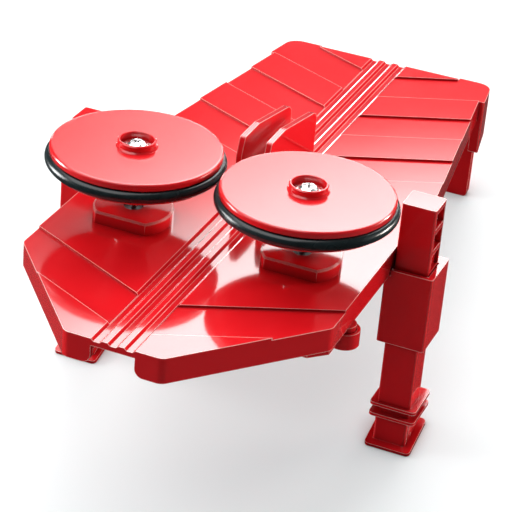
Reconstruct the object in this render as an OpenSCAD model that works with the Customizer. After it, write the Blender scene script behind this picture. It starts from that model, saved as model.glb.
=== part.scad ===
// Two-wheel launcher for folded paper planes, in millimetres.
// A tilted deck carries two motor-driven wheels whose tyres almost touch.
// A plane's keel slides between two upright fins and is thrown off the
// front edge by the wheels. Two legs slide in sleeves and set the angle.
//
// Every sub-part is drawn in the deck's own frame: X to the right, Y from
// the front edge to the rear, Z square to the deck, zero on the raised
// panels. on_stand() then tips the deck and stands it on the ground.

/* [Deck] */
// Length of the deck from the front edge to the rear edge
deck_len = 250; // [240:1:260]
// Half of the deck's full width
deck_half_w = 54.4; // [53:0.1:56]
// Half of the width of the short front edge
front_half_w = 16.5; // [14:0.5:18]
// Where the slanted front sides meet the parallel sides
shoulder_y = 44.3; // [40:0.1:44.5]
// Where the deck starts to narrow towards the rear
taper_y = 148; // [140:1:152]
// Half of the deck's width where the tail cap starts
tail_half_w = 42.8; // [42.2:0.1:43.2]
// Half of the width of the tail cap
cap_half_w = 45; // [44.8:0.1:45.6]
// Length of the tail cap
cap_len = 15; // [14:0.5:16]
// How far the cap's rear corners stick out behind the deck
cap_horn = 2.6; // [1.5:0.1:3]
// Thickness of the deck under a raised panel
plate_t = 2.6; // [2.4:0.1:2.8]
// Wall thickness of the skirt
wall = 1.8; // [1.6:0.1:2]
// Depth of the skirt below the raised panels
skirt_depth = 9; // [8.6:0.1:9.4]
// Depth of the tail cap's walls at their front
cap_depth = 22.5; // [20:0.5:24]
// How far the sunk panels lie below the raised ones
panel_step = 0.8; // [0.5:0.1:1]

/* [Track] */
// Distance between the middles of two channels
channel_pitch = 5.6; // [5:0.1:6]
// Width of a channel's slanted side
channel_side = 0.9; // [0.6:0.1:1.6]
// Depth of a channel
channel_depth = 0.8; // [0.5:0.1:1.2]

/* [Wheels] */
// Distance between the two wheel axes
wheel_span = 61; // [60.8:0.1:64]
// Distance of the wheel axes behind the front edge
wheel_y = 77.3; // [76:0.1:79]
// Radius of the tyre's outside
tyre_r = 30.3; // [29.8:0.1:30.3]
// Radius of the tyre's round section
tyre_section_r = 2; // [1.8:0.1:2]
// Height of the tyre's middle above the deck
tyre_z = 22; // [21:0.5:24]
// Radius of the wheel's upper disc
disc_r = 28.9; // [28.5:0.1:28.9]
// Radius of the motor shaft
shaft_r = 1; // [0.9:0.05:1.1]

/* [Motors] */
// Radius of the motor can
can_r = 10.2; // [10:0.1:10.2]
// Half of the distance across the can's flats
can_flat = 7.7; // [7.5:0.1:7.7]
// Length of the can
can_len = 20.5; // [19:0.5:21]
// Height of the motor housing above the deck
boss_h = 4.4; // [4.3:0.1:5]
// Radius of the housing above the deck
boss_r = 13.5; // [13.2:0.1:14]
// Half of the distance across the housing's flats
boss_flat = 10.4; // [10.2:0.1:10.8]

/* [Stand] */
// Angle of the deck to the ground
tilt = 13.8; // [13.2:0.1:14.2]
// Distance from the deck down to the ground at the legs
leg_drop = 75.5; // [74:0.5:77]
// Width of a leg, across the deck
leg_w = 12; // [11:0.5:12]
// Depth of a leg, along the deck
leg_d = 11; // [10:0.5:11]
// Height of a leg's top above the deck
leg_top = 17.5; // [17:0.5:22]
// Distance of the legs' front face behind the front edge
leg_y = 102; // [101.5:0.1:102.5]
// Length of a leg sleeve
sleeve_len = 28; // [26:1:30]
// Distance between two rungs on a leg
rung_pitch = 8; // [7.5:0.1:8]
// Play between a leg and its sleeve
slide_gap = 0.3; // [0.3:0.05:0.4]

/* [Keel guide] */
// Distance between the middles of the two fins
fin_span = 9.7; // [9.4:0.1:10]
// Thickness of a fin
fin_t = 2; // [1.8:0.1:2]
// Height of a fin above the deck
fin_h = 24.6; // [20:0.2:26]
// Where the fins start behind the front edge
fin_y = 104.5; // [104:0.5:108]
// Length of a fin
fin_len = 46.5; // [44:0.5:47]

/* [Power] */
// Radius of a battery cell
cell_r = 7.1; // [6.9:0.1:7.1]
// Length of a battery cell without its button
cell_len = 49.5; // [48.5:0.5:49.5]
// Travel of the switch knob
switch_travel = 3; // [2:0.5:3]

/* [Hidden] */
$fn = 64;

// Colours
RED = [0.80, 0.05, 0.07];
BLACK = [0.08, 0.09, 0.10];
STEEL = [0.75, 0.76, 0.78];
BRASS = [0.80, 0.65, 0.35];
COPPER = [0.75, 0.45, 0.25];
WHITE = [0.92, 0.92, 0.90];
GREEN = [0.16, 0.35, 0.24];

// Small amounts: a cut runs this far past a face, and two fixed pieces
// keep this far apart.
past = 1;
seat = 0.15;

cap_y = deck_len - cap_len;
side_slope = (deck_half_w - tail_half_w) / (cap_y - taper_y);
cap_rear_w = cap_half_w - side_slope * (cap_len + cap_horn);
horn_x = 29.4;
wheel_x = wheel_span / 2;
ground_slope = tan(tilt);

// Stand: the ground passes leg_drop below the deck at the legs' middle
leg_mid_y = leg_y + 7;
lift = leg_mid_y * sin(tilt) + leg_drop * cos(tilt);
front_reach = -skirt_depth * sin(tilt);
rear_reach = (deck_len + cap_horn) * cos(tilt) - panel_step * sin(tilt);
back_shift = -(front_reach + rear_reach) / 2;

// Chevron panels: each sunk band runs between two slanted lines, given
// by where they leave the track
chevron_x = 7.5;
chevron_slope = 0.5;
sunk_bands = [[11.6, 32], [135.4, 156], [176.3, 196.7], [216.4, 238.3]];

// Wheel heights above the deck
web_t = 1.1;
lower_z = tyre_z - tyre_section_r - 0.1 - web_t;
upper_z = tyre_z + tyre_section_r + 0.1;
disc_t = 2.5;
drum_r = tyre_r - 2 * tyre_section_r - 0.05;
drum_wall = 4;
hub_r = 6.5;
collar_wall = 0.9;
collar_h = 2.5;
hub_floor_z = upper_z + 2;
adapter_r = 3.2;
adapter_z = boss_h + 2.7;
shaft_top_z = 17;
screw_bore_r = 1.1;

// Motor heights
motor_top = 2.2;
can_wall = 0.5;
can_bottom = motor_top - can_len;
end_cap_h = 4.5;
bush_r = 3.05;
bush_h = 1.7;
rear_bush_h = 2;
housing_play = 0.15;
housing_wall = 1.4;
housing_in_r = can_r + housing_play;
housing_in_flat = can_flat + housing_play;
housing_out_r = housing_in_r + housing_wall;
housing_out_flat = housing_in_flat + housing_wall;
housing_bottom = -20;
retainer_bottom = -26;
shaft_hole_r = 3.3;
ear_y = housing_out_flat + 2.3;
ear_r = 2.6;

// Tray under the front of the deck
tray_floor_z = -14.5;
tray_wall = 1.5;
tray_outline = [[46.6, 45], [52, 50.5], [52, 69], [47.5, 73], [47.5, 97]];
lug_x = 52.4;
lug_y = 63;
lug_r = 5.1;
lug_bore_r = 3.9;
lug_bottom = -16.4;
lug_h = 5.6;
lug_post_r = 3.7;
tray_rear_post = [42.8, 92.5];

// Sleeves and legs
leg_x = 55;
sleeve_x = 52.4;
sleeve_out_x = 69.4;
sleeve_y = 100;
sleeve_d = 18;
sleeve_top = -7;
sleeve_bottom = sleeve_top - sleeve_len;
flange_t = 1.2;
flange_tops = [-59.9, -64.2];
flange_x = 52.6;
flange_w = 16.8;
foot_t = 1.3;
tongue_z = -skirt_depth - 0.2;
tongue_t = 2.2;
tongue_x = 40;
tongue_holes = [[45.5, 104.5], [45.5, 113.5]];

// Battery compartment
box_x = 32;
box_y0 = 122;
box_y1 = 182;
fin_flange_t = 1.6;
box_top = -plate_t - fin_flange_t - 2 * seat;
box_bottom = -22.3;
box_wall = 1.6;
cell_pitch = 15;
cell_z = box_top - box_wall - cell_r - 0.3;
door_t = 1.6;
plate_gap = 0.1;
plate_metal = 0.5;
front_plate_y = box_y0 + box_wall + plate_gap;
rear_plate_y = box_y1 - box_wall - plate_gap;
button_h = 1;
box_ears = [[36, 130], [36, 174]];
door_screw_y = 117.5;

// Switch
switch_y = 57;
switch_slot = [9, 3.6];
switch_body_size = [17, 8, 6];
knob_stem = [4, 3];

// Screws
pilot_r = 1;
shank_r = 0.95;
head_r = 2.2;
head_h = 1.4;

// Wires, as round numbers chosen by hand: right-hand side only where a
// pair is mirrored
wire_r = 0.6;
wire_notch = 2.4;
red_motor_route = [[6, 57, -6.2], [9.5, 58.5, -6.2], [12, 62, -7], [14, 66, -8], [15, 72, -9], [15, 76, -12],
    [15, 77.3, -16], [15.3, 77.3, -20], [16.5, 77.3, -22.6], [19, 77.3, -23.4], [21.6, 77.3, -23.4]];
black_motor_route = [[1, 119.5, -6.4], [4, 114, -6.4], [9, 108, -6.4], [12, 100, -6.4], [13, 92, -7],
    [14, 84, -9], [14.5, 80.5, -12], [14.5, 79.5, -16], [15, 79.5, -20], [16.5, 79.5, -22.6],
    [19, 79.3, -23.4], [21.6, 79, -23.4]];
red_battery_route = [[-22.5, 123.5, -13.5], [-22.5, 120, -13.5], [-21, 116, -10.5], [-16, 110, -8.5],
    [-10, 104, -8], [-8, 96, -6.4], [-7, 86, -6.4], [-7, 74, -6.4], [-7, 66, -6.4], [-6.5, 62, -6.2],
    [-6, 57, -6.2]];
black_battery_route = [[22.5, 123.5, -13.5], [22.5, 120, -13.5], [20, 117, -10], [14, 117.5, -7],
    [7, 119, -6.4], [1, 119.5, -6.4]];

// ---------------------------------------------------------------- helpers

function unit(v) = v / norm(v);
function mirrored(pts) = [for (i = [len(pts) - 1 : -1 : 0]) [-pts[i].x, pts[i].y]];
function both_sides(pts) = concat(pts, mirrored(pts));

// A closed outline moved inwards by d, corner by corner
function inset(pts, d) = let (n = len(pts)) [
    for (i = [0 : n - 1])
        let (u = unit(pts[i] - pts[(i + n - 1) % n]), v = unit(pts[(i + 1) % n] - pts[i]),
             nu = [-u.y, u.x], nv = [-v.y, v.x])
        pts[i] + d * (nu + nv) / (1 + nu * nv)
];

// A closed outline with its corners rounded to the radii in rad
function rounded(pts, rad, steps = 6) = let (n = len(pts)) [
    for (i = [0 : n - 1])
        let (p = pts[i], u = unit(pts[(i + n - 1) % n] - p), v = unit(pts[(i + 1) % n] - p),
             half = acos(u * v) / 2, r = rad[i],
             c = p + unit(u + v) * r / sin(half),
             a = p + u * r / tan(half) - c, b = p + v * r / tan(half) - c,
             turn = atan2(a.x * b.y - a.y * b.x, a * b), start = atan2(a.y, a.x))
        for (k = [0 : steps]) c + r * [cos(start + turn * k / steps), sin(start + turn * k / steps)]
];

// Half of the deck's outline, from the front edge to the rear
deck_half = [[front_half_w, 0], [deck_half_w, shoulder_y], [deck_half_w, taper_y],
    [tail_half_w, cap_y], [cap_half_w, cap_y], [cap_rear_w, deck_len + cap_horn],
    [horn_x, deck_len + cap_horn], [horn_x, deck_len]];
deck_half_radii = [3.5, 4, 6, 0.3, 0.6, 6, 0.4, 0.3];
deck_radii = concat(deck_half_radii, [for (i = [7 : -1 : 0]) deck_half_radii[i]]);

function deck_outline(d = 0) =
    rounded(inset(both_sides(deck_half), d), [for (r = deck_radii) max(r - d, 0.2)]);

// A circle of radius r with two flats at y = +flat and -flat
module double_d(r, flat) {
    intersection() {
        circle(r);
        square([2 * r + 2, 2 * flat], center = true);
    }
}

// The housing's outline above the deck: two flats and two shallow arcs
module boss_outline(shrink) {
    set_back = 1.2;
    arc_r = boss_r + set_back - shrink;
    intersection() {
        translate([set_back, 0]) circle(arc_r);
        translate([-set_back, 0]) circle(arc_r);
        square([3 * arc_r, 2 * (boss_flat - shrink)], center = true);
    }
}

// A box given by its lowest and highest corners
module slab(low, high) {
    translate(low) cube(high - low);
}

// A box with its upright edges rounded to radius r
module round_slab(low, high, r) {
    pts = [[low.x, low.y], [high.x, low.y], [high.x, high.y], [low.x, high.y]];
    translate([0, 0, low.z])
        linear_extrude(high.z - low.z) polygon(rounded(pts, [r, r, r, r], 5));
}

// Everything below the ground, seen from the deck's frame
module below_ground() {
    translate([0, leg_mid_y, -leg_drop]) rotate([tilt, 0, 0])
        translate([-100, -200, -100]) cube([200, 500, 100]);
}

// Puts a right-hand piece on its own side, or mirrors it to the left
module on_side(side) {
    mirror([side < 0 ? 1 : 0, 0, 0]) children();
}

// Moves a piece drawn about Z onto a wheel's axis
module on_axis() {
    translate([wheel_x, wheel_y, 0]) children();
}

// Tips the deck and stands it on the ground
module on_stand() {
    translate([0, back_shift, lift]) rotate([-tilt, 0, 0]) children();
}

// A round tube swept along a path
module swept(path, r, sides = 8) {
    n = len(path);
    along = [for (i = [0 : n - 1]) unit(path[min(i + 1, n - 1)] - path[max(i - 1, 0)])];
    across = [for (t = along) unit(cross(t, abs(t.x) < 0.8 ? [1, 0, 0] : [0, 1, 0]))];
    points = [for (i = [0 : n - 1]) for (k = [0 : sides - 1])
        path[i] + r * (cos(360 * k / sides) * across[i]
                       + sin(360 * k / sides) * cross(along[i], across[i]))];
    sides_faces = [for (i = [0 : n - 2]) for (k = [0 : sides - 1])
        let (a = i * sides + k, b = i * sides + (k + 1) % sides)
        [a, a + sides, b + sides, b]];
    start_face = [[for (k = [0 : sides - 1]) k]];
    end_face = [[for (k = [sides - 1 : -1 : 0]) (n - 1) * sides + k]];
    polyhedron(points, concat(sides_faces, start_face, end_face), convexity = 6);
}

// A self-tapping screw, head down, with its head's underside at z = 0
module screw(length) {
    difference() {
        union() {
            rotate_extrude($fn = 32) polygon([
                [0, -head_h], [head_r * 0.7, -head_h], [head_r, -head_h * 0.45], [head_r, 0],
                [shank_r, 0], [shank_r, length - shank_r], [0, length]]);
        }
        for (a = [0, 90]) rotate([0, 0, a])
            slab([-head_r * 0.6, -0.3, -head_h - past], [head_r * 0.6, 0.3, -head_h + 0.8]);
    }
}

// ------------------------------------------------------------------- deck

module track_channels() {
    flat = channel_pitch / 2 - channel_side;
    slope = channel_side / channel_depth;
    for (c = [-channel_pitch, 0, channel_pitch])
        translate([c, deck_len + past, 0]) rotate([90, 0, 0])
            linear_extrude(deck_len + 2 * past) polygon([
                [-flat / 2, -channel_depth], [flat / 2, -channel_depth],
                [flat / 2 + channel_side + slope, 1], [-flat / 2 - channel_side - slope, 1]]);
}

module sunk_panel(band) {
    inner = 6.8;
    outer = deck_half_w + past;
    rise_in = chevron_slope * (inner - chevron_x);
    rise_out = chevron_slope * (outer - chevron_x);
    translate([0, 0, -panel_step]) linear_extrude(panel_step + past) polygon([
        [inner, band[0] + rise_in], [outer, band[0] + rise_out],
        [outer, band[1] + rise_out], [inner, band[1] + rise_in]]);
}

module front_opening() {
    half = 7.4;
    top = -plate_t + 0.1;
    r = 3;
    translate([0, wall + past, 0]) rotate([90, 0, 0]) linear_extrude(wall + 2 * past) {
        translate([-half, -skirt_depth - past]) square([2 * half, top + skirt_depth + past]);
        for (s = [-1, 1]) scale([s, 1]) difference() {
            translate([half - 0.01, -skirt_depth - past]) square([r, r + past]);
            translate([half + r, -skirt_depth + r]) circle(r, $fn = 48);
            translate([half + r, -skirt_depth - 2 * past]) square([r, 2 * r]);
        }
    }
}

module tail_walls() {
    lip = 3.7;
    lip_t = 2.8;
    guide_y = cap_y + 6.4;
    difference() {
        union() {
            translate([0, 0, -cap_depth - past]) linear_extrude(cap_depth + past) difference() {
                polygon(deck_outline());
                polygon(deck_outline(wall));
                translate([-100, -past]) square([200, cap_y + past]);
            }
            for (s = [-1, 1]) scale([s, 1, 1]) {
                slab([cap_half_w - lip, cap_y, -cap_depth - past], [cap_half_w - 0.5, cap_y + lip_t, -0.5]);
                slab([cap_half_w - wall - 4, guide_y, -cap_depth + 5],
                     [cap_half_w - wall + 0.2, guide_y + 1.6, -plate_t + 0.2]);
            }
        }
        translate([0, cap_y, -cap_depth]) rotate([tilt, 0, 0])
            translate([-100, -100, -50]) cube([200, 200, 50]);
    }
}

module post(at, bottom, r) {
    translate([at.x, at.y, bottom]) cylinder(r = r, h = -plate_t - bottom + 0.2, $fn = 32);
}

module deck_ribs() {
    depth = 6.5;
    t = 1.2;
    for (s = [-1, 1]) scale([s, 1, 1]) {
        slab([33.2 + 6, 120, -depth], [33.2 + 6 + t, 228, -plate_t + 0.2]);
        slab([8.6, 2 * wall, -depth], [8.6 + t, 42, -plate_t + 0.2]);
        slab([8.6, 186, -depth], [8.6 + t, 232, -plate_t + 0.2]);
    }
    for (y = [30, 190, 212]) {
        half = y < 40 ? 38 : 40.4;
        slab([-half, y, -depth], [half, y + t, -plate_t + 0.2]);
    }
}

module deck() {
    color(RED) difference() {
        union() {
            translate([0, 0, -plate_t]) linear_extrude(plate_t) polygon(deck_outline());
            translate([0, 0, -skirt_depth]) linear_extrude(skirt_depth - 0.5) difference() {
                polygon(deck_outline());
                polygon(deck_outline(wall));
            }
            tail_walls();
            deck_ribs();
            for (s = [-1, 1]) scale([s, 1, 1]) {
                post([lug_x, lug_y], -skirt_depth, 2);
                translate([lug_x, lug_y, lug_bottom + 2])
                    cylinder(r = lug_post_r, h = -skirt_depth - lug_bottom - 1.9);
                post(tray_rear_post, tray_floor_z + tray_wall + seat, 3);
                for (h = tongue_holes) post(h, tongue_z + seat, 3);
                for (h = box_ears) post(h, -9, 3);
            }
        }
        track_channels();
        for (s = [-1, 1]) scale([s, 1, 1]) {
            for (band = sunk_bands) sunk_panel(band);
            slab([horn_x, deck_len - 3, -panel_step], [cap_half_w, deck_len + cap_horn + past, past]);
            translate([wheel_x, wheel_y, -plate_t - past]) linear_extrude(plate_t + 2 * past)
                double_d(housing_out_r + seat, housing_out_flat + seat);
            slab([fin_span / 2 - fin_t / 2 - seat, fin_y - seat, -plate_t - past],
                 [fin_span / 2 + fin_t / 2 + seat, fin_y + fin_len + seat, past]);
            for (h = concat([[lug_x, lug_y], tray_rear_post], tongue_holes, box_ears))
                translate([h.x, h.y, -18]) cylinder(r = pilot_r, h = 18 - plate_t, $fn = 24);
        }
        front_opening();
    }
}

// ---------------------------------------------------- rear stand and fins

module rear_stand() {
    half = cap_half_w - side_slope * 6.2 - wall - 0.2;
    y0 = cap_y + 3;
    t = 3.1;
    r = 1.6;
    depth = 52;
    color(RED) difference() {
        slab([-half, y0, -depth], [half, y0 + t, -plate_t - seat]);
        below_ground();
        for (s = [-1, 1]) scale([s, 1, 1]) translate([half - r, leg_mid_y, -leg_drop]) rotate([tilt, 0, 0])
            translate([0, 0, r]) rotate([-90, 0, 0]) difference() {
                cube([r + past, r + past, deck_len]);
                translate([0, 0, -past]) cylinder(r = r, h = deck_len + 2 * past, $fn = 48);
            }
    }
}

module keel_fin() {
    x0 = fin_span / 2 - fin_t / 2;
    bottom = -plate_t - seat - fin_flange_t;
    end_y = fin_y + fin_len;
    color(RED) {
        translate([x0, 0, 0]) rotate([90, 0, 90]) linear_extrude(fin_t) polygon(rounded(
            [[fin_y, bottom], [end_y, bottom], [end_y, fin_h - 5.4], [fin_y + 15, fin_h],
             [fin_y + 2.6, fin_h - 0.3], [fin_y + 0.2, 18]],
            [0.2, 0.2, 5, 2, 1.2, 6]));
        slab([x0, fin_y + 2, bottom], [x0 + 8, end_y - 2, -plate_t - seat]);
    }
}

// ----------------------------------------------------------------- motors

module motor_housing() {
    fillet = 0.8;
    steps = 5;
    color(RED) difference() {
        union() {
            for (i = [0 : steps]) {
                shrink = i == 0 ? 0 : fillet * (1 - cos(90 * (i - 0.5) / steps));
                linear_extrude(boss_h - fillet + fillet * sin(90 * i / steps)) boss_outline(shrink);
            }
            translate([0, 0, housing_bottom]) linear_extrude(-housing_bottom)
                double_d(housing_out_r, housing_out_flat);
            for (s = [-1, 1]) {
                translate([0, s * ear_y, housing_bottom]) cylinder(r = ear_r, h = 5, $fn = 32);
                scale([s, 1, 1]) slab([housing_out_r - 1.2, -2.5, -plate_t - seat - 1.4],
                    [housing_out_r + 1, 2.5, -plate_t - seat]);
            }
        }
        translate([0, 0, housing_bottom - past]) linear_extrude(motor_top + seat - housing_bottom + past)
            double_d(housing_in_r, housing_in_flat);
        cylinder(r = shaft_hole_r, h = boss_h + past);
        for (s = [-1, 1]) translate([0, s * ear_y, housing_bottom - past])
            cylinder(r = pilot_r, h = 5, $fn = 24);
    }
}

module motor_retainer() {
    top = housing_bottom - seat;
    color(RED) difference() {
        union() {
            translate([0, 0, retainer_bottom]) linear_extrude(top - retainer_bottom)
                double_d(housing_out_r, housing_out_flat);
            for (s = [-1, 1]) translate([0, s * ear_y, top - 2]) cylinder(r = ear_r, h = 2, $fn = 32);
        }
        translate([0, 0, retainer_bottom + 1]) linear_extrude(-retainer_bottom)
            double_d(housing_in_r, housing_in_flat);
        for (s = [-1, 1]) translate([0, s * ear_y, top - 3]) cylinder(r = pilot_r + 0.2, h = 4, $fn = 24);
        slab([-housing_out_r - past, -wire_notch, retainer_bottom + 1],
             [-housing_in_flat, wire_notch + 1, top + past]);
    }
}

module motor_can() {
    color(STEEL) difference() {
        union() {
            translate([0, 0, can_bottom]) linear_extrude(can_len) double_d(can_r, can_flat);
            cylinder(r = bush_r, h = motor_top + bush_h, $fn = 48);
        }
        translate([0, 0, can_bottom - past]) linear_extrude(can_len - can_wall + past)
            double_d(can_r - can_wall, can_flat - can_wall);
        translate([0, 0, -past]) cylinder(r = shaft_r + 0.05, h = motor_top + bush_h + 2 * past, $fn = 48);
    }
}

module motor_magnets() {
    outer = can_r - can_wall - 0.05;
    inner = 7.2;
    color(BLACK) translate([0, 0, can_bottom + 4]) linear_extrude(13) difference() {
        circle(outer);
        circle(inner);
        for (s = [-1, 1]) translate([-outer - 1, s > 0 ? 5.2 : -5.2 - outer]) square([2 * outer + 2, outer]);
    }
}

module motor_end_cap() {
    top = can_bottom - 0.05;
    terminal_x = 6.2;
    color(WHITE) difference() {
        union() {
            translate([0, 0, top - end_cap_h]) linear_extrude(end_cap_h) double_d(can_r, can_flat);
            translate([0, 0, top - end_cap_h - rear_bush_h]) cylinder(r = 5, h = rear_bush_h + past, $fn = 48);
        }
        translate([0, 0, top - end_cap_h + 1.2]) cylinder(r = 6.6, h = end_cap_h);
        translate([0, 0, top - 20]) cylinder(r = shaft_r + 0.05, h = 21, $fn = 48);
        for (s = [-1, 1]) slab([-terminal_x - 0.25 + (s > 0 ? 2 * terminal_x : 0), -1.2, top - end_cap_h - past],
            [-terminal_x + 0.25 + (s > 0 ? 2 * terminal_x : 0), 1.2, top - end_cap_h + 1]);
    }
}

module motor_rotor() {
    stack_r = 6.8;
    teeth = 3;
    color(STEEL) {
        translate([0, 0, can_bottom - end_cap_h - rear_bush_h + 0.6])
            cylinder(r = shaft_r, h = shaft_top_z - can_bottom + end_cap_h + rear_bush_h - 0.6, $fn = 48);
        difference() {
            translate([0, 0, can_bottom + 5]) cylinder(r = stack_r, h = 11);
            for (i = [0 : teeth - 1]) rotate([0, 0, 360 * i / teeth])
                slab([3.2, -0.7, can_bottom + 4], [stack_r + past, 0.7, can_bottom + 17]);
        }
        translate([0, 0, can_bottom - 1.5]) cylinder(r = 2.6, h = 6.6, $fn = 32);
    }
}

// ----------------------------------------------------------------- wheels

module hub_adapter() {
    color(BRASS) difference() {
        translate([0, 0, adapter_z]) cylinder(r = adapter_r, h = upper_z - 0.1 - adapter_z, $fn = 48);
        translate([0, 0, adapter_z - past]) cylinder(r = shaft_r + 0.01, h = shaft_top_z - adapter_z + past, $fn = 48);
        translate([0, 0, shaft_top_z - past]) cylinder(r = screw_bore_r, h = 20, $fn = 48);
    }
}

module wheel_lower_disc() {
    edge = 0.5;
    r = disc_r - 1.1;
    bore = adapter_r + 0.03;
    color(RED) {
        rotate_extrude($fn = 128) polygon([
            [bore, adapter_z + 0.4], [hub_r - 0.5, adapter_z + 0.4], [hub_r - 0.3, adapter_z + 0.9],
            [hub_r, lower_z], [r - edge, lower_z], [r - edge * 0.3, lower_z + edge * 0.3],
            [r, lower_z + edge], [r, lower_z + web_t], [drum_r, lower_z + web_t], [drum_r, tyre_z - 0.05],
            [drum_r - drum_wall, tyre_z - 0.05], [drum_r - drum_wall, lower_z + web_t],
            [bore, lower_z + web_t]]);
    }
}

module wheel_upper_disc() {
    top = upper_z + disc_t;
    edge = 1;
    collar_in = hub_r - collar_wall;
    arc = [for (k = [0 : 6]) [disc_r - edge + edge * cos(15 * k), top - edge + edge * sin(15 * k)]];
    color(RED) rotate_extrude($fn = 128) polygon(concat(
        [[1.5, upper_z], [drum_r - drum_wall, upper_z], [drum_r - drum_wall, tyre_z + 0.05],
         [drum_r, tyre_z + 0.05], [drum_r, upper_z], [disc_r - 0.4, upper_z], [disc_r, upper_z + 0.4]],
        arc,
        [[hub_r + 0.5, top], [hub_r, top + 0.5], [hub_r, top + collar_h - 0.3],
         [hub_r - 0.3, top + collar_h], [collar_in + 0.2, top + collar_h],
         [collar_in, top + collar_h - 0.2], [collar_in, hub_floor_z], [1.5, hub_floor_z]]));
}

module tyre() {
    color(BLACK) translate([0, 0, tyre_z]) rotate_extrude($fn = 128)
        translate([tyre_r - tyre_section_r, 0]) circle(tyre_section_r, $fn = 32);
}

module hub_screw() {
    z = hub_floor_z + 0.02;
    recess = 1.9;
    color(STEEL) difference() {
        rotate_extrude($fn = 64) polygon([
            [0, shaft_top_z + 1.5], [screw_bore_r - 0.05, shaft_top_z + 2.6], [screw_bore_r - 0.05, z], [4.8, z],
            [4.95, z + 0.3], [4.8, z + 0.7], [3.4, z + 0.8], [3.2, z + 1.5], [2.3, z + 2], [0, z + 2.2]]);
        for (a = [20, 110]) rotate([0, 0, a])
            slab([-recess, -0.4, z + 1], [recess, 0.4, z + 4]);
    }
}

// ------------------------------------------------------- sleeves and legs

module leg_sleeve() {
    gap = slide_gap;
    outer_step = -skirt_depth - 0.2;
    color(RED) difference() {
        union() {
            round_slab([sleeve_x, sleeve_y, sleeve_bottom], [sleeve_out_x, sleeve_y + sleeve_d, sleeve_top], 0.8);
            slab([tongue_x, sleeve_y + 1, tongue_z - tongue_t], [sleeve_x + 1, sleeve_y + sleeve_d - 1, tongue_z]);
            for (y = [sleeve_y + 7.5, sleeve_y + 9.5]) translate([0, y + 1.2, 0]) rotate([90, 0, 0])
                linear_extrude(1.2) polygon([[sleeve_x + 0.5, tongue_z - tongue_t + 0.3],
                    [tongue_x + 3, tongue_z - tongue_t + 0.3], [sleeve_x + 0.5, tongue_z - tongue_t - 3]]);
        }
        slab([sleeve_x - past, sleeve_y - past, outer_step],
             [deck_half_w + 0.25, sleeve_y + sleeve_d + past, sleeve_top + past]);
        slab([leg_x - gap, leg_y - gap, sleeve_bottom - past],
             [leg_x + leg_w + gap, leg_y + leg_d + gap, sleeve_top + past]);
        slab([leg_x + 0.5, leg_y + leg_d + 1.6, sleeve_bottom - past],
             [leg_x + leg_w - 0.2, sleeve_y + sleeve_d - 1.6, sleeve_top - 1.5]);
        for (h = tongue_holes) translate([h.x, h.y, tongue_z - tongue_t - past])
            cylinder(r = pilot_r + 0.2, h = tongue_t + 2 * past, $fn = 24);
    }
}

module leg_pockets() {
    height = rung_pitch - 2;
    frame = 1.1;
    deep = 9.5;
    shallow = 1.1;
    for (k = [0 : 4]) {
        top = leg_top - 1.7 - k * rung_pitch;
        depth = k < 2 ? deep : shallow;
        slab([leg_x + leg_w - depth, leg_y + 1.6, top - height],
             [leg_x + leg_w + past, leg_y + leg_d - frame, top]);
    }
}

module leg() {
    neck_top = flange_tops[1] - 0.5;
    neck_x = leg_x - 0.3;
    color(RED) {
        difference() {
            round_slab([leg_x, leg_y, flange_tops[0] - 0.5], [leg_x + leg_w, leg_y + leg_d, leg_top], 0.7);
            leg_pockets();
        }
        for (z = flange_tops) round_slab([flange_x, leg_mid_y - 8.4, z - flange_t],
            [flange_x + flange_w, leg_mid_y + 9.3, z], 1.6);
        slab([leg_x + 1.4, leg_y + 1, flange_tops[1] - 0.5],
             [leg_x + leg_w - 0.4, leg_y + leg_d - 0.6, flange_tops[0] - 0.5]);
        difference() {
            round_slab([neck_x, leg_y + 0.6, neck_top - 20], [leg_x + leg_w - 0.4, leg_y + leg_d - 0.2, neck_top], 1);
            slab([leg_x + leg_w - 1.3, leg_y + 2.4, neck_top - 21],
                 [leg_x + leg_w + past, leg_y + 3.4, neck_top - 1]);
            translate([0, leg_mid_y, -leg_drop]) rotate([tilt, 0, 0])
                translate([0, -50, foot_t * 0.5 - 60]) cube([100, 100, 60]);
        }
        translate([0, leg_mid_y, -leg_drop]) rotate([tilt, 0, 0])
            round_slab([flange_x, -9.3, 0], [flange_x + flange_w, 9.5, foot_t], 1.6);
    }
}

// ---------------------------------------------------------- underside tray

module tray_outer() {
    polygon(both_sides(tray_outline));
}

module underside_tray() {
    top = -plate_t - seat;
    color(RED) difference() {
        union() {
            translate([0, 0, tray_floor_z]) linear_extrude(tray_wall) tray_outer();
            translate([0, 0, tray_floor_z]) linear_extrude(top - tray_floor_z) difference() {
                tray_outer();
                polygon(inset(both_sides(tray_outline), tray_wall));
            }
            for (s = [-1, 1]) scale([s, 1, 1]) translate([lug_x, lug_y, lug_bottom])
                cylinder(r = lug_r, h = lug_h, $fn = 64);
        }
        for (s = [-1, 1]) scale([s, 1, 1]) {
            translate([lug_x, lug_y, lug_bottom + 1.8]) cylinder(r = lug_bore_r, h = 30, $fn = 48);
            translate([lug_x, lug_y, lug_bottom - past]) cylinder(r = pilot_r + 0.2, h = 5, $fn = 24);
            translate([tray_rear_post.x, tray_rear_post.y, tray_floor_z - past])
                cylinder(r = pilot_r + 0.2, h = 5, $fn = 24);
            translate([wheel_x, wheel_y, tray_floor_z - past]) linear_extrude(tray_wall + 2 * past) {
                double_d(housing_out_r + 0.4, housing_out_flat + 0.4);
                for (y = [-1, 1]) translate([0, y * ear_y]) circle(ear_r + 0.4, $fn = 32);
                translate([-housing_out_r - 5.2, -2.6]) square([8, 6.5]);
            }
        }
        slab([-switch_slot.x / 2, switch_y - switch_slot.y / 2, tray_floor_z - past],
             [switch_slot.x / 2, switch_y + switch_slot.y / 2, tray_floor_z + 2 * past]);
        slab([-16, 95, -9], [16, 98, past]);
    }
}

// ----------------------------------------------------------------- battery

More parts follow.
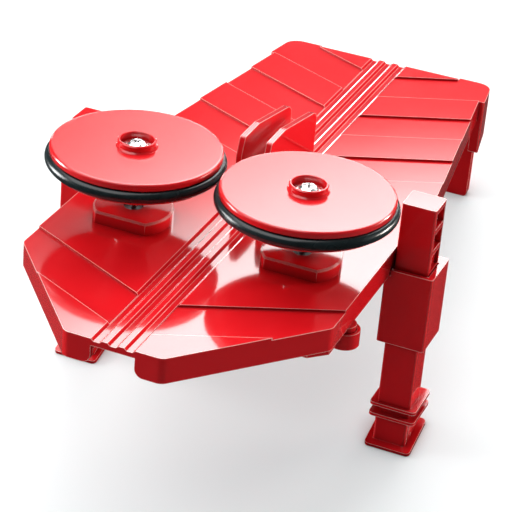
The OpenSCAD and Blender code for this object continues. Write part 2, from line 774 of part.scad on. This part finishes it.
module battery_box() {
    color(BLACK) difference() {
        union() {
            slab([-box_x, box_y0, box_bottom], [box_x, box_y1, box_top]);
            translate([0, door_screw_y, box_bottom]) cylinder(r = 3, h = 9, $fn = 32);
            slab([-3, door_screw_y, box_bottom], [3, box_y0 + 0.5, box_bottom + 9]);
            for (s = [-1, 1]) scale([s, 1, 1]) for (h = box_ears) {
                translate([h.x, h.y, -11.1]) cylinder(r = 3, h = 2, $fn = 32);
                slab([box_x - 0.5, h.y - 3, -11.1], [h.x, h.y + 3, -9.1]);
            }
        }
        slab([-box_x + box_wall, box_y0 + box_wall, box_bottom - past],
             [box_x - box_wall, box_y1 - box_wall, box_top - box_wall]);
        for (s = [-1, 1]) scale([s, 1, 1]) {
            for (h = box_ears) translate([h.x, h.y, -13]) cylinder(r = pilot_r + 0.2, h = 5, $fn = 24);
            translate([22.5, box_y0 - past, cell_z]) rotate([-90, 0, 0])
                cylinder(r = wire_r + 0.4, h = box_wall + 2 * past, $fn = 24);
        }
        translate([0, door_screw_y, box_bottom - past]) cylinder(r = pilot_r, h = 8, $fn = 24);
    }
}

module battery_door() {
    top = box_bottom - seat;
    color(RED) difference() {
        union() {
            round_slab([-box_x, box_y0, top - door_t], [box_x, box_y1, top], 1.5);
            round_slab([-5, door_screw_y - 4.5, top - door_t], [5, box_y0 + 3, top], 1.5);
            slab([-box_x + box_wall + 0.3, box_y0 + box_wall + 0.3, top - 0.5],
                 [box_x - box_wall - 0.3, box_y0 + box_wall + 1.5, top + 1.2]);
            slab([-box_x + box_wall + 0.3, box_y1 - box_wall - 1.5, top - 0.5],
                 [box_x - box_wall - 0.3, box_y1 - box_wall - 0.3, top + 1.2]);
            for (y = [box_y1 - 14 : 3 : box_y1 - 5])
                slab([-12, y, top - door_t - 0.6], [12, y + 1.2, top - door_t + 0.2]);
        }
        translate([0, door_screw_y, top - door_t - past]) cylinder(r = pilot_r + 0.2, h = 5, $fn = 24);
    }
}

module battery_cell(index) {
    x = (index - 2.5) * cell_pitch;
    flip = index % 2;
    y_mid = (front_plate_y + rear_plate_y) / 2;
    r = cell_r;
    color(GREEN) translate([x, y_mid, cell_z]) rotate([flip ? 90 : -90, 0, 0])
        translate([0, 0, rear_plate_y - y_mid - plate_metal - seat - button_h - cell_len])
            rotate_extrude($fn = 64) polygon([
                [0, 0], [r - 0.6, 0], [r, 0.6], [r, cell_len - 0.8], [r - 0.8, cell_len],
                [2.7, cell_len], [2.6, cell_len + button_h], [0, cell_len + button_h]]);
}

module contact_plate(x0, x1, y) {
    slab([x0, y, cell_z - 5.5], [x1, y + plate_metal, cell_z + 5.5]);
}

module contact_plates() {
    half = 5.5;
    outer = 1.5 * cell_pitch;
    inner = 0.5 * cell_pitch;
    front = front_plate_y;
    rear = rear_plate_y - plate_metal;
    color(STEEL) {
        contact_plate(-outer - half, -outer + half, front);
        contact_plate(-inner - half, inner + half, front);
        contact_plate(outer - half, outer + half, front);
        contact_plate(-outer - half, -inner + half, rear);
        contact_plate(inner - half, outer + half, rear);
    }
}

module contact_springs() {
    turns = 3;
    per_turn = 12;
    coil_r = 4;
    wire = 0.4;
    length = rear_plate_y - front_plate_y - 2 * plate_metal - cell_len - button_h - 2 * seat - 0.2 - 2 * wire;
    helix = [for (i = [0 : turns * per_turn])
        [coil_r * cos(360 * i / per_turn), coil_r * sin(360 * i / per_turn), length * i / (turns * per_turn)]];
    color(STEEL) for (index = [1 : 4]) {
        flip = index % 2;
        plate = flip ? rear_plate_y - plate_metal : front_plate_y + plate_metal;
        translate([(index - 2.5) * cell_pitch, plate + (flip ? -1 : 1) * (wire + 0.1), cell_z])
            rotate([flip ? 90 : -90, 0, 0]) swept(helix, wire, 6);
    }
}

// ------------------------------------------------------- switch and wiring

module switch_body() {
    floor_top = tray_floor_z + tray_wall + seat;
    size = switch_body_size;
    color(BLACK) difference() {
        slab([-size.x / 2, switch_y - size.y / 2, floor_top],
             [size.x / 2, switch_y + size.y / 2, floor_top + size.z]);
        slab([-size.x / 2 + 2, switch_y - knob_stem.y / 2 - 0.4, floor_top - past],
             [size.x / 2 - 2, switch_y + knob_stem.y / 2 + 0.4, floor_top + size.z - 1.5]);
    }
}

module switch_knob() {
    top = tray_floor_z + tray_wall + 3;
    bottom = tray_floor_z - 2.2;
    x0 = -switch_travel / 2 - knob_stem.x / 2;
    color(BLACK) difference() {
        round_slab([x0, switch_y - knob_stem.y / 2, bottom], [x0 + knob_stem.x, switch_y + knob_stem.y / 2, top], 0.4);
        for (i = [-1 : 1]) slab([x0 + knob_stem.x / 2 + i * 1.1 - 0.2, switch_y - past * 3, bottom - past],
            [x0 + knob_stem.x / 2 + i * 1.1 + 0.2, switch_y + past * 3, bottom + 0.4]);
    }
}

module red_wires() {
    color([0.85, 0.1, 0.1]) {
        for (s = [-1, 1]) swept([for (p = red_motor_route) [s * p.x, p.y, p.z]], wire_r);
        swept(red_battery_route, wire_r);
    }
}

module black_wires() {
    color(BLACK) {
        for (s = [-1, 1]) swept([for (p = black_motor_route) [s * p.x, p.y, p.z]], wire_r);
        swept(black_battery_route, wire_r);
    }
}

// ------------------------------------------------------------------ screws

module tray_screws() {
    color(STEEL) for (s = [-1, 1]) scale([s, 1, 1]) {
        translate([lug_x, lug_y, lug_bottom - 0.02]) screw(7);
        translate([tray_rear_post.x, tray_rear_post.y, tray_floor_z - 0.02]) screw(7);
    }
}

module sleeve_screws() {
    color(STEEL) for (s = [-1, 1]) scale([s, 1, 1])
        for (h = tongue_holes) translate([h.x, h.y, tongue_z - tongue_t - 0.02]) screw(7);
}

module retainer_screws() {
    color(STEEL) for (s = [-1, 1]) scale([s, 1, 1]) on_axis() for (y = [-1, 1])
        translate([0, y * ear_y, housing_bottom - seat - 2.02]) screw(5.5);
}

module battery_box_screws() {
    color(STEEL) for (s = [-1, 1]) scale([s, 1, 1])
        for (h = box_ears) translate([h.x, h.y, -11.12]) screw(6.5);
}

module battery_door_screw() {
    color(STEEL) translate([0, door_screw_y, box_bottom - seat - door_t - 0.02]) screw(7);
}

// ---------------------------------------------------------------- assembly

on_stand() {
    deck();
    rear_stand();
    underside_tray();
    on_side(-1) keel_fin();  // left_keel_fin
    on_side(1) keel_fin();  // right_keel_fin
    on_side(-1) on_axis() motor_housing();  // left_motor_housing
    on_side(1) on_axis() motor_housing();  // right_motor_housing
    on_side(-1) on_axis() motor_retainer();  // left_motor_retainer
    on_side(1) on_axis() motor_retainer();  // right_motor_retainer
    on_side(-1) on_axis() motor_can();  // left_motor_can
    on_side(1) on_axis() motor_can();  // right_motor_can
    on_side(-1) on_axis() motor_magnets();  // left_motor_magnets
    on_side(1) on_axis() motor_magnets();  // right_motor_magnets
    on_side(-1) on_axis() motor_end_cap();  // left_motor_end_cap
    on_side(1) on_axis() motor_end_cap();  // right_motor_end_cap
    on_side(-1) on_axis() motor_rotor();  // left_motor_rotor
    on_side(1) on_axis() motor_rotor();  // right_motor_rotor
    on_side(-1) on_axis() hub_adapter();  // left_hub_adapter
    on_side(1) on_axis() hub_adapter();  // right_hub_adapter
    on_side(-1) on_axis() wheel_lower_disc();  // left_wheel_lower_disc
    on_side(1) on_axis() wheel_lower_disc();  // right_wheel_lower_disc
    on_side(-1) on_axis() wheel_upper_disc();  // left_wheel_upper_disc
    on_side(1) on_axis() wheel_upper_disc();  // right_wheel_upper_disc
    on_side(-1) on_axis() tyre();  // left_tyre
    on_side(1) on_axis() tyre();  // right_tyre
    on_side(-1) on_axis() hub_screw();  // left_hub_screw
    on_side(1) on_axis() hub_screw();  // right_hub_screw
    on_side(-1) leg_sleeve();  // left_leg_sleeve
    on_side(1) leg_sleeve();  // right_leg_sleeve
    on_side(-1) leg();  // left_leg
    on_side(1) leg();  // right_leg
    battery_box();
    battery_door();
    battery_cell(1);  // battery_cell_1
    battery_cell(2);  // battery_cell_2
    battery_cell(3);  // battery_cell_3
    battery_cell(4);  // battery_cell_4
    contact_plates();
    contact_springs();
    switch_body();
    switch_knob();
    red_wires();
    black_wires();
    tray_screws();
    sleeve_screws();
    retainer_screws();
    battery_box_screws();
    battery_door_screw();
}
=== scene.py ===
# Looks of a two-wheel launcher for folded paper planes: glossy red moulded
# plastic, dark rubber tyres and metal parts, on a white studio floor.
# Metres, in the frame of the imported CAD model.

import math

import bpy
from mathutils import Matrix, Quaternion, Vector


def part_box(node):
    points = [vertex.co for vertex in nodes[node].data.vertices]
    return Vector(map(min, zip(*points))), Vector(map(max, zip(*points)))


MILLIMETRE = 0.001
NODE_SAMPLES = 8

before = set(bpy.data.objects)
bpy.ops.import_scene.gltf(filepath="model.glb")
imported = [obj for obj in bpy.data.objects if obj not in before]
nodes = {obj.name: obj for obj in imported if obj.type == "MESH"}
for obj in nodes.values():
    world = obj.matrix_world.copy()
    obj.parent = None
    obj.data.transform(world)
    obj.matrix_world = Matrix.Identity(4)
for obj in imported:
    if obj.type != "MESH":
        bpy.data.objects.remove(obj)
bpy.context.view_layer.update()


# ----------------------------------------------------------------- camera

CAMERA_SPOT = Vector((0.22103, -0.51367, 0.52974))
CAMERA_AIM = Vector((0.01600, -0.04999, 0.08176))
CAMERA_ROLL = math.radians(-1.134)
CAMERA_LENS = 145.2
CLIP_NEAR = 0.01
CLIP_FAR = 20


def make_camera():
    data = bpy.data.cameras.new("camera")
    data.lens = CAMERA_LENS
    data.clip_start = CLIP_NEAR
    data.clip_end = CLIP_FAR
    camera = bpy.data.objects.new("camera", data)
    bpy.context.scene.collection.objects.link(camera)
    camera.rotation_mode = "QUATERNION"
    camera.location = CAMERA_SPOT
    look = (CAMERA_AIM - CAMERA_SPOT).to_track_quat("-Z", "Y")
    camera.rotation_quaternion = look @ Quaternion((0, 0, 1), CAMERA_ROLL)
    bpy.context.scene.camera = camera


# ---------------------------------------------------------- floor and light

LAMP_AIM = Vector((0, 0, 0.07))
WORLD_STRENGTH = 0.05

FLOOR_HALF = 4
FLOOR_TONES = (0.51, 0.53)
FLOOR_MIRRORED = 0.06
FLOOR_BOUNCE = 1.2
FLOOR_GLOW = 0.50
FLOOR_GLOW_TINT = (0.91, 1, 1.02, 1)
# Painted contact shadow on the floor: its reach in millimetres, and the ambient occlusion between its
# darkest and where it clears.
PAINTED_SHADOW_REACH = 9
PAINTED_SHADOW_DARKEST = 0.3
PAINTED_SHADOW_CLEAR = 0.98


def direction(azimuth, elevation):
    """A unit vector: azimuth 0 points along +Y and grows towards +X."""
    turn = math.radians(azimuth)
    rise = math.radians(elevation)
    flat = math.cos(rise)
    return Vector((math.sin(turn) * flat, math.cos(turn) * flat, math.sin(rise)))


def soft_panel(name, azimuth, elevation, distance, size, watts, colour=(1, 1, 1), fade=0.0):
    """A rectangular studio lamp aimed at the object.

    With fade it is round, and fade is the share of its radius that its rim fades over.
    """
    data = bpy.data.lights.new(name, "AREA")
    data.shape = "RECTANGLE"
    data.size, data.size_y = size
    data.energy = watts
    data.color = colour
    if fade:
        fade_rim(data, fade)
    lamp = bpy.data.objects.new(name, data)
    bpy.context.scene.collection.objects.link(lamp)
    out = direction(azimuth, elevation)
    lamp.location = LAMP_AIM + out * distance
    lamp.rotation_mode = "QUATERNION"
    lamp.rotation_quaternion = (-out).to_track_quat("-Z", "Y")
    lamp.visible_camera = False


def fade_rim(data, fade):
    """The lamp's strength falls from full to nothing towards a circle inside its square."""
    middle = 0.5
    data.use_nodes = True
    tree = data.node_tree
    emission = tree.nodes["Emission"]
    spot = tree.nodes.new("ShaderNodeNewGeometry")
    away = tree.nodes.new("ShaderNodeVectorMath")
    away.operation = "DISTANCE"
    away.inputs[1].default_value = (middle, middle, 0)
    tree.links.new(spot.outputs["Parametric"], away.inputs[0])
    ramp = tree.nodes.new("ShaderNodeMapRange")
    ramp.interpolation_type = "SMOOTHSTEP"
    ramp.inputs["From Min"].default_value = middle
    ramp.inputs["From Max"].default_value = middle * (1 - fade)
    tree.links.new(away.outputs["Value"], ramp.inputs["Value"])
    tree.links.new(ramp.outputs[0], emission.inputs["Strength"])


def make_floor():
    """White paper to the camera, with a painted contact shadow where the object stands on it.

    It is nearly black in reflections, so that the red sides stay deep, and bounces
    strongly on to matt surfaces.
    """
    material, tree, shader = new_material("floor_paper")
    paint(shader, roughness=0.9, specular=0.05)
    path = tree.nodes.new("ShaderNodeLightPath")
    tone = spread(tree, noise(tree, scale=6, detail=2), *FLOOR_TONES)
    bounce = spread(tree, path.outputs["Is Diffuse Ray"], FLOOR_MIRRORED, FLOOR_BOUNCE)
    seen = maths(tree, "MAXIMUM", bounce, path.outputs["Is Camera Ray"])
    tree.links.new(maths(tree, "MULTIPLY", tone, seen), shader.inputs["Base Color"])
    # Painted shadow: the camera-only glow dims where the object stands close above the floor.
    painted_shadow_ao = tree.nodes.new("ShaderNodeAmbientOcclusion")
    painted_shadow_ao.samples = NODE_SAMPLES
    painted_shadow_ao.inputs["Distance"].default_value = PAINTED_SHADOW_REACH * MILLIMETRE
    glow_with_painted_shadow = spread(tree, painted_shadow_ao.outputs["AO"], 0, FLOOR_GLOW, PAINTED_SHADOW_DARKEST, PAINTED_SHADOW_CLEAR)
    glow = maths(tree, "MULTIPLY", path.outputs["Is Camera Ray"], glow_with_painted_shadow)
    tree.links.new(glow, shader.inputs["Emission Strength"])
    shader.inputs["Emission Color"].default_value = FLOOR_GLOW_TINT
    corners = [
        (-FLOOR_HALF, -FLOOR_HALF, 0),
        (FLOOR_HALF, -FLOOR_HALF, 0),
        (FLOOR_HALF, FLOOR_HALF, 0),
        (-FLOOR_HALF, FLOOR_HALF, 0),
    ]
    mesh = bpy.data.meshes.new("floor")
    mesh.from_pydata(corners, [], [(0, 1, 2, 3)])
    mesh.materials.append(material)
    floor = bpy.data.objects.new("floor", mesh)
    bpy.context.scene.collection.objects.link(floor)


def make_world():
    world = bpy.data.worlds.new("studio")
    bpy.context.scene.world = world
    world.use_nodes = True
    background = world.node_tree.nodes["Background"]
    background.inputs["Color"].default_value = (1, 1, 1, 1)
    background.inputs["Strength"].default_value = WORLD_STRENGTH


def make_lights():
    soft_panel(
        "back_panel", azimuth=-6.5, elevation=34.3, distance=2.4, size=(2.24, 2.24), watts=100, fade=0.24
    )
    soft_panel("top_panel", azimuth=-80, elevation=68, distance=1.5, size=(1.6, 1.6), watts=22)
    soft_panel(
        "right_panel",
        azimuth=52,
        elevation=3,
        distance=1.3,
        size=(0.5, 0.2),
        watts=16,
        colour=(1, 0.93, 0.86),
    )
    soft_panel("left_fill", azimuth=-95, elevation=8, distance=1.5, size=(0.6, 0.8), watts=30)
    soft_panel("horizon_strip", azimuth=-17, elevation=1.5, distance=2.5, size=(2.6, 0.16), watts=14)


# --------------------------------------------------------- material helpers

def new_material(name):
    material = bpy.data.materials.new(name)
    material.use_nodes = True
    tree = material.node_tree
    return material, tree, tree.nodes["Principled BSDF"]


def paint(shader, roughness, specular=0.5, metallic=0.0, coat=0.0, coat_roughness=0.06):
    shader.inputs["Roughness"].default_value = roughness
    shader.inputs["Specular IOR Level"].default_value = specular
    shader.inputs["Metallic"].default_value = metallic
    shader.inputs["Coat Weight"].default_value = coat
    shader.inputs["Coat Roughness"].default_value = coat_roughness


def maths(tree, operation, first, second):
    node = tree.nodes.new("ShaderNodeMath")
    node.operation = operation
    for socket, value in zip(node.inputs, (first, second)):
        if isinstance(value, (int, float)):
            socket.default_value = value
        else:
            tree.links.new(value, socket)
    return node.outputs[0]


def place(tree, stretch=(1, 1, 1)):
    """The object's own coordinates, which keep a pattern fixed to a moving part."""
    source = tree.nodes.new("ShaderNodeTexCoord")
    mapping = tree.nodes.new("ShaderNodeMapping")
    mapping.inputs["Scale"].default_value = stretch
    tree.links.new(source.outputs["Object"], mapping.inputs["Vector"])
    return mapping.outputs[0]


def noise(tree, scale, detail, stretch=(1, 1, 1), distortion=0.0):
    node = tree.nodes.new("ShaderNodeTexNoise")
    node.inputs["Scale"].default_value = scale
    node.inputs["Detail"].default_value = detail
    node.inputs["Distortion"].default_value = distortion
    tree.links.new(place(tree, stretch), node.inputs["Vector"])
    return node.outputs["Fac"]


def spread(tree, value, low, high, from_low=0.0, from_high=1.0):
    """The value, stretched from one range to another and held inside it."""
    node = tree.nodes.new("ShaderNodeMapRange")
    node.inputs["From Min"].default_value = from_low
    node.inputs["From Max"].default_value = from_high
    node.inputs["To Min"].default_value = low
    node.inputs["To Max"].default_value = high
    tree.links.new(value, node.inputs["Value"])
    return node.outputs[0]


def ramp_colour(tree, shader, value, dark, light, at=(0.35, 0.65)):
    ramp = tree.nodes.new("ShaderNodeValToRGB")
    for stop, spot, colour in zip(ramp.color_ramp.elements, at, (dark, light)):
        stop.position = spot
        stop.color = (*colour, 1)
    tree.links.new(value, ramp.inputs["Fac"])
    tree.links.new(ramp.outputs["Color"], shader.inputs["Base Color"])
    return ramp.outputs["Color"]


def rounded_normal(tree, radius):
    """The normal as it would be with sharp corners rounded to radius, in millimetres."""
    node = tree.nodes.new("ShaderNodeBevel")
    node.samples = NODE_SAMPLES
    node.inputs["Radius"].default_value = radius * MILLIMETRE
    return node.outputs[0]


def uneven_gloss(tree, shader, pattern, smoothest, roughest):
    tree.links.new(spread(tree, pattern, smoothest, roughest), shader.inputs["Roughness"])


def bump(tree, shader, height, depth, edge=0.0):
    """Surface relief of a depth in millimetres; edge is the radius that sharp corners are rounded to."""
    node = tree.nodes.new("ShaderNodeBump")
    if edge:
        tree.links.new(rounded_normal(tree, edge), node.inputs["Normal"])
    node.inputs["Strength"].default_value = 1
    node.inputs["Distance"].default_value = depth * MILLIMETRE
    tree.links.new(height, node.inputs["Height"])
    tree.links.new(node.outputs["Normal"], shader.inputs["Normal"])


def scratches(tree, scale, stretch, share):
    """Fine hairlines: the narrow crests of a stretched noise."""
    lines = noise(tree, scale, detail=3, stretch=stretch, distortion=0.4)
    return spread(tree, lines, 0, 1, 1 - share, 1)


# ---------------------------------------------------------------- materials

# Painted highlight on the red plastic's sharp outer edges: the rounding radius in millimetres that finds
# them, the normal turns it fades in between, its share, and the open sky it needs.
PAINTED_HIGHLIGHT_RADIUS = 0.35
PAINTED_HIGHLIGHT_FLAT = 0.995
PAINTED_HIGHLIGHT_TURNED = 0.95
PAINTED_HIGHLIGHT_SHARE = 0.9
PAINTED_HIGHLIGHT_SKY = (0.7, 0.9)

# Painted shade in the red plastic's inner corners: its reach in millimetres, its greatest share, and the
# open sky over which it fades out.
PAINTED_SHADE_REACH = 4
PAINTED_SHADE_DEPTH = 0.6
PAINTED_SHADE_SKY = (0.35, 0.95)

RED_DARK = (0.66, 0.008, 0.013)
RED_LIGHT = (0.72, 0.011, 0.017)
# Painted shade colour that inner corners of the red plastic are darkened towards.
RED_PAINTED_SHADE = (0.10, 0.002, 0.003)
# Painted highlight colour that sharp outer edges of the red plastic are paled towards.
RED_PAINTED_HIGHLIGHT = (1.0, 0.62, 0.58)

SMOOTHER = 0.08
ROUGHER = 0.1

MIX_SHARE = 0
MIX_FIRST_COLOUR = 6
MIX_SECOND_COLOUR = 7
MIX_COLOUR_OUT = 2


def painted_highlight_and_shade_masks(tree):
    """Two masks for painted light: 1 on the rim of a sharp outer edge, where a highlight is painted, and the
    open share of the sky.

    The second drops in inner corners, where shade is painted.
    """
    rounded = rounded_normal(tree, PAINTED_HIGHLIGHT_RADIUS)
    here = tree.nodes.new("ShaderNodeNewGeometry")
    same = tree.nodes.new("ShaderNodeVectorMath")
    same.operation = "DOT_PRODUCT"
    tree.links.new(rounded, same.inputs[0])
    tree.links.new(here.outputs["Normal"], same.inputs[1])
    sharp = spread(tree, same.outputs["Value"], 0, 1, PAINTED_HIGHLIGHT_FLAT, PAINTED_HIGHLIGHT_TURNED)
    sky = tree.nodes.new("ShaderNodeAmbientOcclusion")
    sky.samples = NODE_SAMPLES
    sky.inputs["Distance"].default_value = PAINTED_SHADE_REACH * MILLIMETRE
    outer = spread(tree, sky.outputs["AO"], 0, 1, *PAINTED_HIGHLIGHT_SKY)
    return maths(tree, "MULTIPLY", sharp, outer), sky.outputs["AO"]


def mixed(tree, share, first, second):
    """One colour blended towards a fixed second one."""
    node = tree.nodes.new("ShaderNodeMix")
    node.data_type = "RGBA"
    tree.links.new(share, node.inputs[MIX_SHARE])
    tree.links.new(first, node.inputs[MIX_FIRST_COLOUR])
    node.inputs[MIX_SECOND_COLOUR].default_value = (*second, 1)
    return node.outputs[MIX_COLOUR_OUT]


def red_plastic(name, gloss, edge, coat_roughness=0.06):
    """Glossy moulded plastic: with edge given, a painted highlight on sharp outer edges and painted shade in
    inner corners.
    """
    material, tree, shader = new_material(name)
    paint(shader, roughness=gloss, specular=0.25, coat=1.0, coat_roughness=coat_roughness)
    cloud = noise(tree, scale=22, detail=4)
    red = ramp_colour(tree, shader, cloud, RED_DARK, RED_LIGHT)
    if edge:
        painted_highlight_mask, sky = painted_highlight_and_shade_masks(tree)
        # Painted shade: the red darkens in inner corners, where less of the sky is open.
        painted_shade_colour = mixed(tree, spread(tree, sky, PAINTED_SHADE_DEPTH, 0, *PAINTED_SHADE_SKY), red, RED_PAINTED_SHADE)
        # Painted highlight: sharp outer edges pale towards a pinkish white.
        painted_highlight_colour = mixed(tree, maths(tree, "MULTIPLY", painted_highlight_mask, PAINTED_HIGHLIGHT_SHARE), painted_shade_colour, RED_PAINTED_HIGHLIGHT)
        tree.links.new(painted_highlight_colour, shader.inputs["Base Color"])
    flow = noise(tree, scale=35, detail=3, stretch=(1, 0.25, 1), distortion=0.6)
    hairs = scratches(tree, scale=900, stretch=(0.06, 1, 1), share=0.35)
    smooth = spread(tree, flow, gloss - 0.03, gloss + 0.05)
    worn = maths(tree, "ADD", smooth, maths(tree, "MULTIPLY", hairs, 0.06))
    tree.links.new(worn, shader.inputs["Roughness"])
    fine = noise(tree, scale=1500, detail=2)
    waves = maths(tree, "MULTIPLY", noise(tree, scale=90, detail=2), 2.5)
    bump(tree, shader, maths(tree, "ADD", fine, waves), depth=0.004, edge=edge)
    return material


def tyre_rubber():
    material, tree, shader = new_material("tyre_rubber_look")
    paint(shader, roughness=0.26)
    ramp_colour(tree, shader, noise(tree, scale=160, detail=4), (0.006, 0.013, 0.015), (0.013, 0.024, 0.027))
    uneven_gloss(tree, shader, noise(tree, scale=60, detail=3), 0.2, 0.32)
    bump(tree, shader, noise(tree, scale=2600, detail=3), depth=0.012)
    return material


def textured_plastic(name, dark, light, roughness):
    """A spark-eroded finish, as on parts that nobody sees."""
    material, tree, shader = new_material(name)
    paint(shader, roughness=roughness)
    ramp_colour(tree, shader, noise(tree, scale=120, detail=5), dark, light)
    patches = noise(tree, scale=400, detail=3)
    uneven_gloss(tree, shader, patches, roughness - SMOOTHER, roughness + ROUGHER)
    bump(tree, shader, noise(tree, scale=2400, detail=3), depth=0.02)
    return material


def black_plastic():
    return textured_plastic("black_plastic_look", (0.012, 0.012, 0.013), (0.028, 0.028, 0.03), 0.48)


def white_plastic():
    return textured_plastic("white_plastic_look", (0.70, 0.69, 0.64), (0.82, 0.81, 0.77), 0.42)


def metal(name, dark, light, roughness, grain, stretch):
    """Drawn or turned metal: stretch draws its grain out along one axis."""
    material, tree, shader = new_material(name)
    paint(shader, roughness=roughness, metallic=1.0)
    brushed = noise(tree, scale=grain, detail=4, stretch=stretch)
    ramp_colour(tree, shader, noise(tree, scale=90, detail=4), dark, light)
    uneven_gloss(tree, shader, brushed, roughness - SMOOTHER, roughness + ROUGHER)
    bump(tree, shader, brushed, depth=0.004)
    return material


def steel():
    return metal("steel_look", (0.46, 0.47, 0.49), (0.62, 0.62, 0.63), 0.32, 700, (1, 0.08, 1))


def chrome():
    return metal("chrome_look", (0.80, 0.80, 0.81), (0.92, 0.92, 0.92), 0.18, 1200, (1, 1, 0.1))


def brass():
    return metal("brass_look", (0.62, 0.44, 0.17), (0.78, 0.58, 0.27), 0.28, 800, (1, 1, 0.05))


# Dark steel. On the motor can it is painted shade for the shaded hole in the boss under each wheel.
def dark_steel():
    dark = (0.018, 0.018, 0.019)
    light = (0.045, 0.045, 0.047)
    return metal("dark_steel_and_painted_shade_look", dark, light, 0.36, 700, (1, 1, 0.1))


def magnet_ferrite():
    material, tree, shader = new_material("magnet_look")
    paint(shader, roughness=0.55)
    ramp_colour(tree, shader, noise(tree, scale=900, detail=5), (0.030, 0.031, 0.033), (0.085, 0.085, 0.09))
    bump(tree, shader, noise(tree, scale=1800, detail=4), depth=0.03)
    return material


def cell_wrap():
    """A plain shrink sleeve in two tones; the paler tone is the third at one end."""
    low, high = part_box("battery_cell_1")
    material, tree, shader = new_material("cell_wrap_look")
    paint(shader, roughness=0.22, coat=0.3)
    split = tree.nodes.new("ShaderNodeSeparateXYZ")
    tree.links.new(place(tree), split.inputs[0])
    along = spread(tree, split.outputs["Y"], 0, 1, low.y, high.y)
    wavy = maths(tree, "ADD", along, maths(tree, "MULTIPLY", noise(tree, scale=220, detail=2), 0.01))
    ramp_colour(tree, shader, wavy, (0.035, 0.10, 0.055), (0.45, 0.36, 0.18), (0.665, 0.675))
    uneven_gloss(tree, shader, noise(tree, scale=70, detail=3), 0.16, 0.3)
    bump(tree, shader, noise(tree, scale=500, detail=3), depth=0.01)
    return material


def insulation(name, dark, light):
    """Soft plastic round a wire."""
    material, tree, shader = new_material(name)
    paint(shader, roughness=0.42)
    ramp_colour(tree, shader, noise(tree, scale=300, detail=3), dark, light)
    uneven_gloss(tree, shader, noise(tree, scale=150, detail=3), 0.34, 0.52)
    bump(tree, shader, noise(tree, scale=1500, detail=2), depth=0.015)
    return material


def red_insulation():
    return insulation("red_insulation_look", (0.50, 0.012, 0.014), (0.66, 0.02, 0.02))


def black_insulation():
    return insulation("black_insulation_look", (0.010, 0.010, 0.011), (0.026, 0.026, 0.028))


def dress_nodes():
    """Each node takes the look of its material slot, or of a word in its name."""
    looks = {
        "red_plastic": red_plastic("red_plastic_painted_light_look", gloss=0.11, edge=0.18),
        "tyre_rubber": tyre_rubber(),
        "black_plastic": black_plastic(),
        "white_plastic": white_plastic(),
        "steel": steel(),
        "chrome": chrome(),
        "magnet": magnet_ferrite(),
        "brass": brass(),
        "cell_wrap": cell_wrap(),
        "red_insulation": red_insulation(),
        "black_insulation": black_insulation(),
    }
    turned = red_plastic("red_disc_look", gloss=0.2, edge=0, coat_roughness=0.17)
    dark_steel_and_painted_shade = dark_steel()
    # On the motor can the dark steel look is painted shade: it stands for the shaded hole under each wheel.
    # The hub adapters wear the same dark steel.
    special = {"disc": turned, "hub_adapter": dark_steel_and_painted_shade, "motor_can": dark_steel_and_painted_shade}
    for name, node in nodes.items():
        own = next((look for word, look in special.items() if word in name), None)
        for index, material in enumerate(node.data.materials):
            node.data.materials[index] = own or looks[material.name.split(".")[0]]


make_camera()
make_floor()
make_world()
make_lights()
dress_nodes()

scene = bpy.context.scene
scene.view_settings.view_transform = "Standard"
scene.view_settings.look = "None"
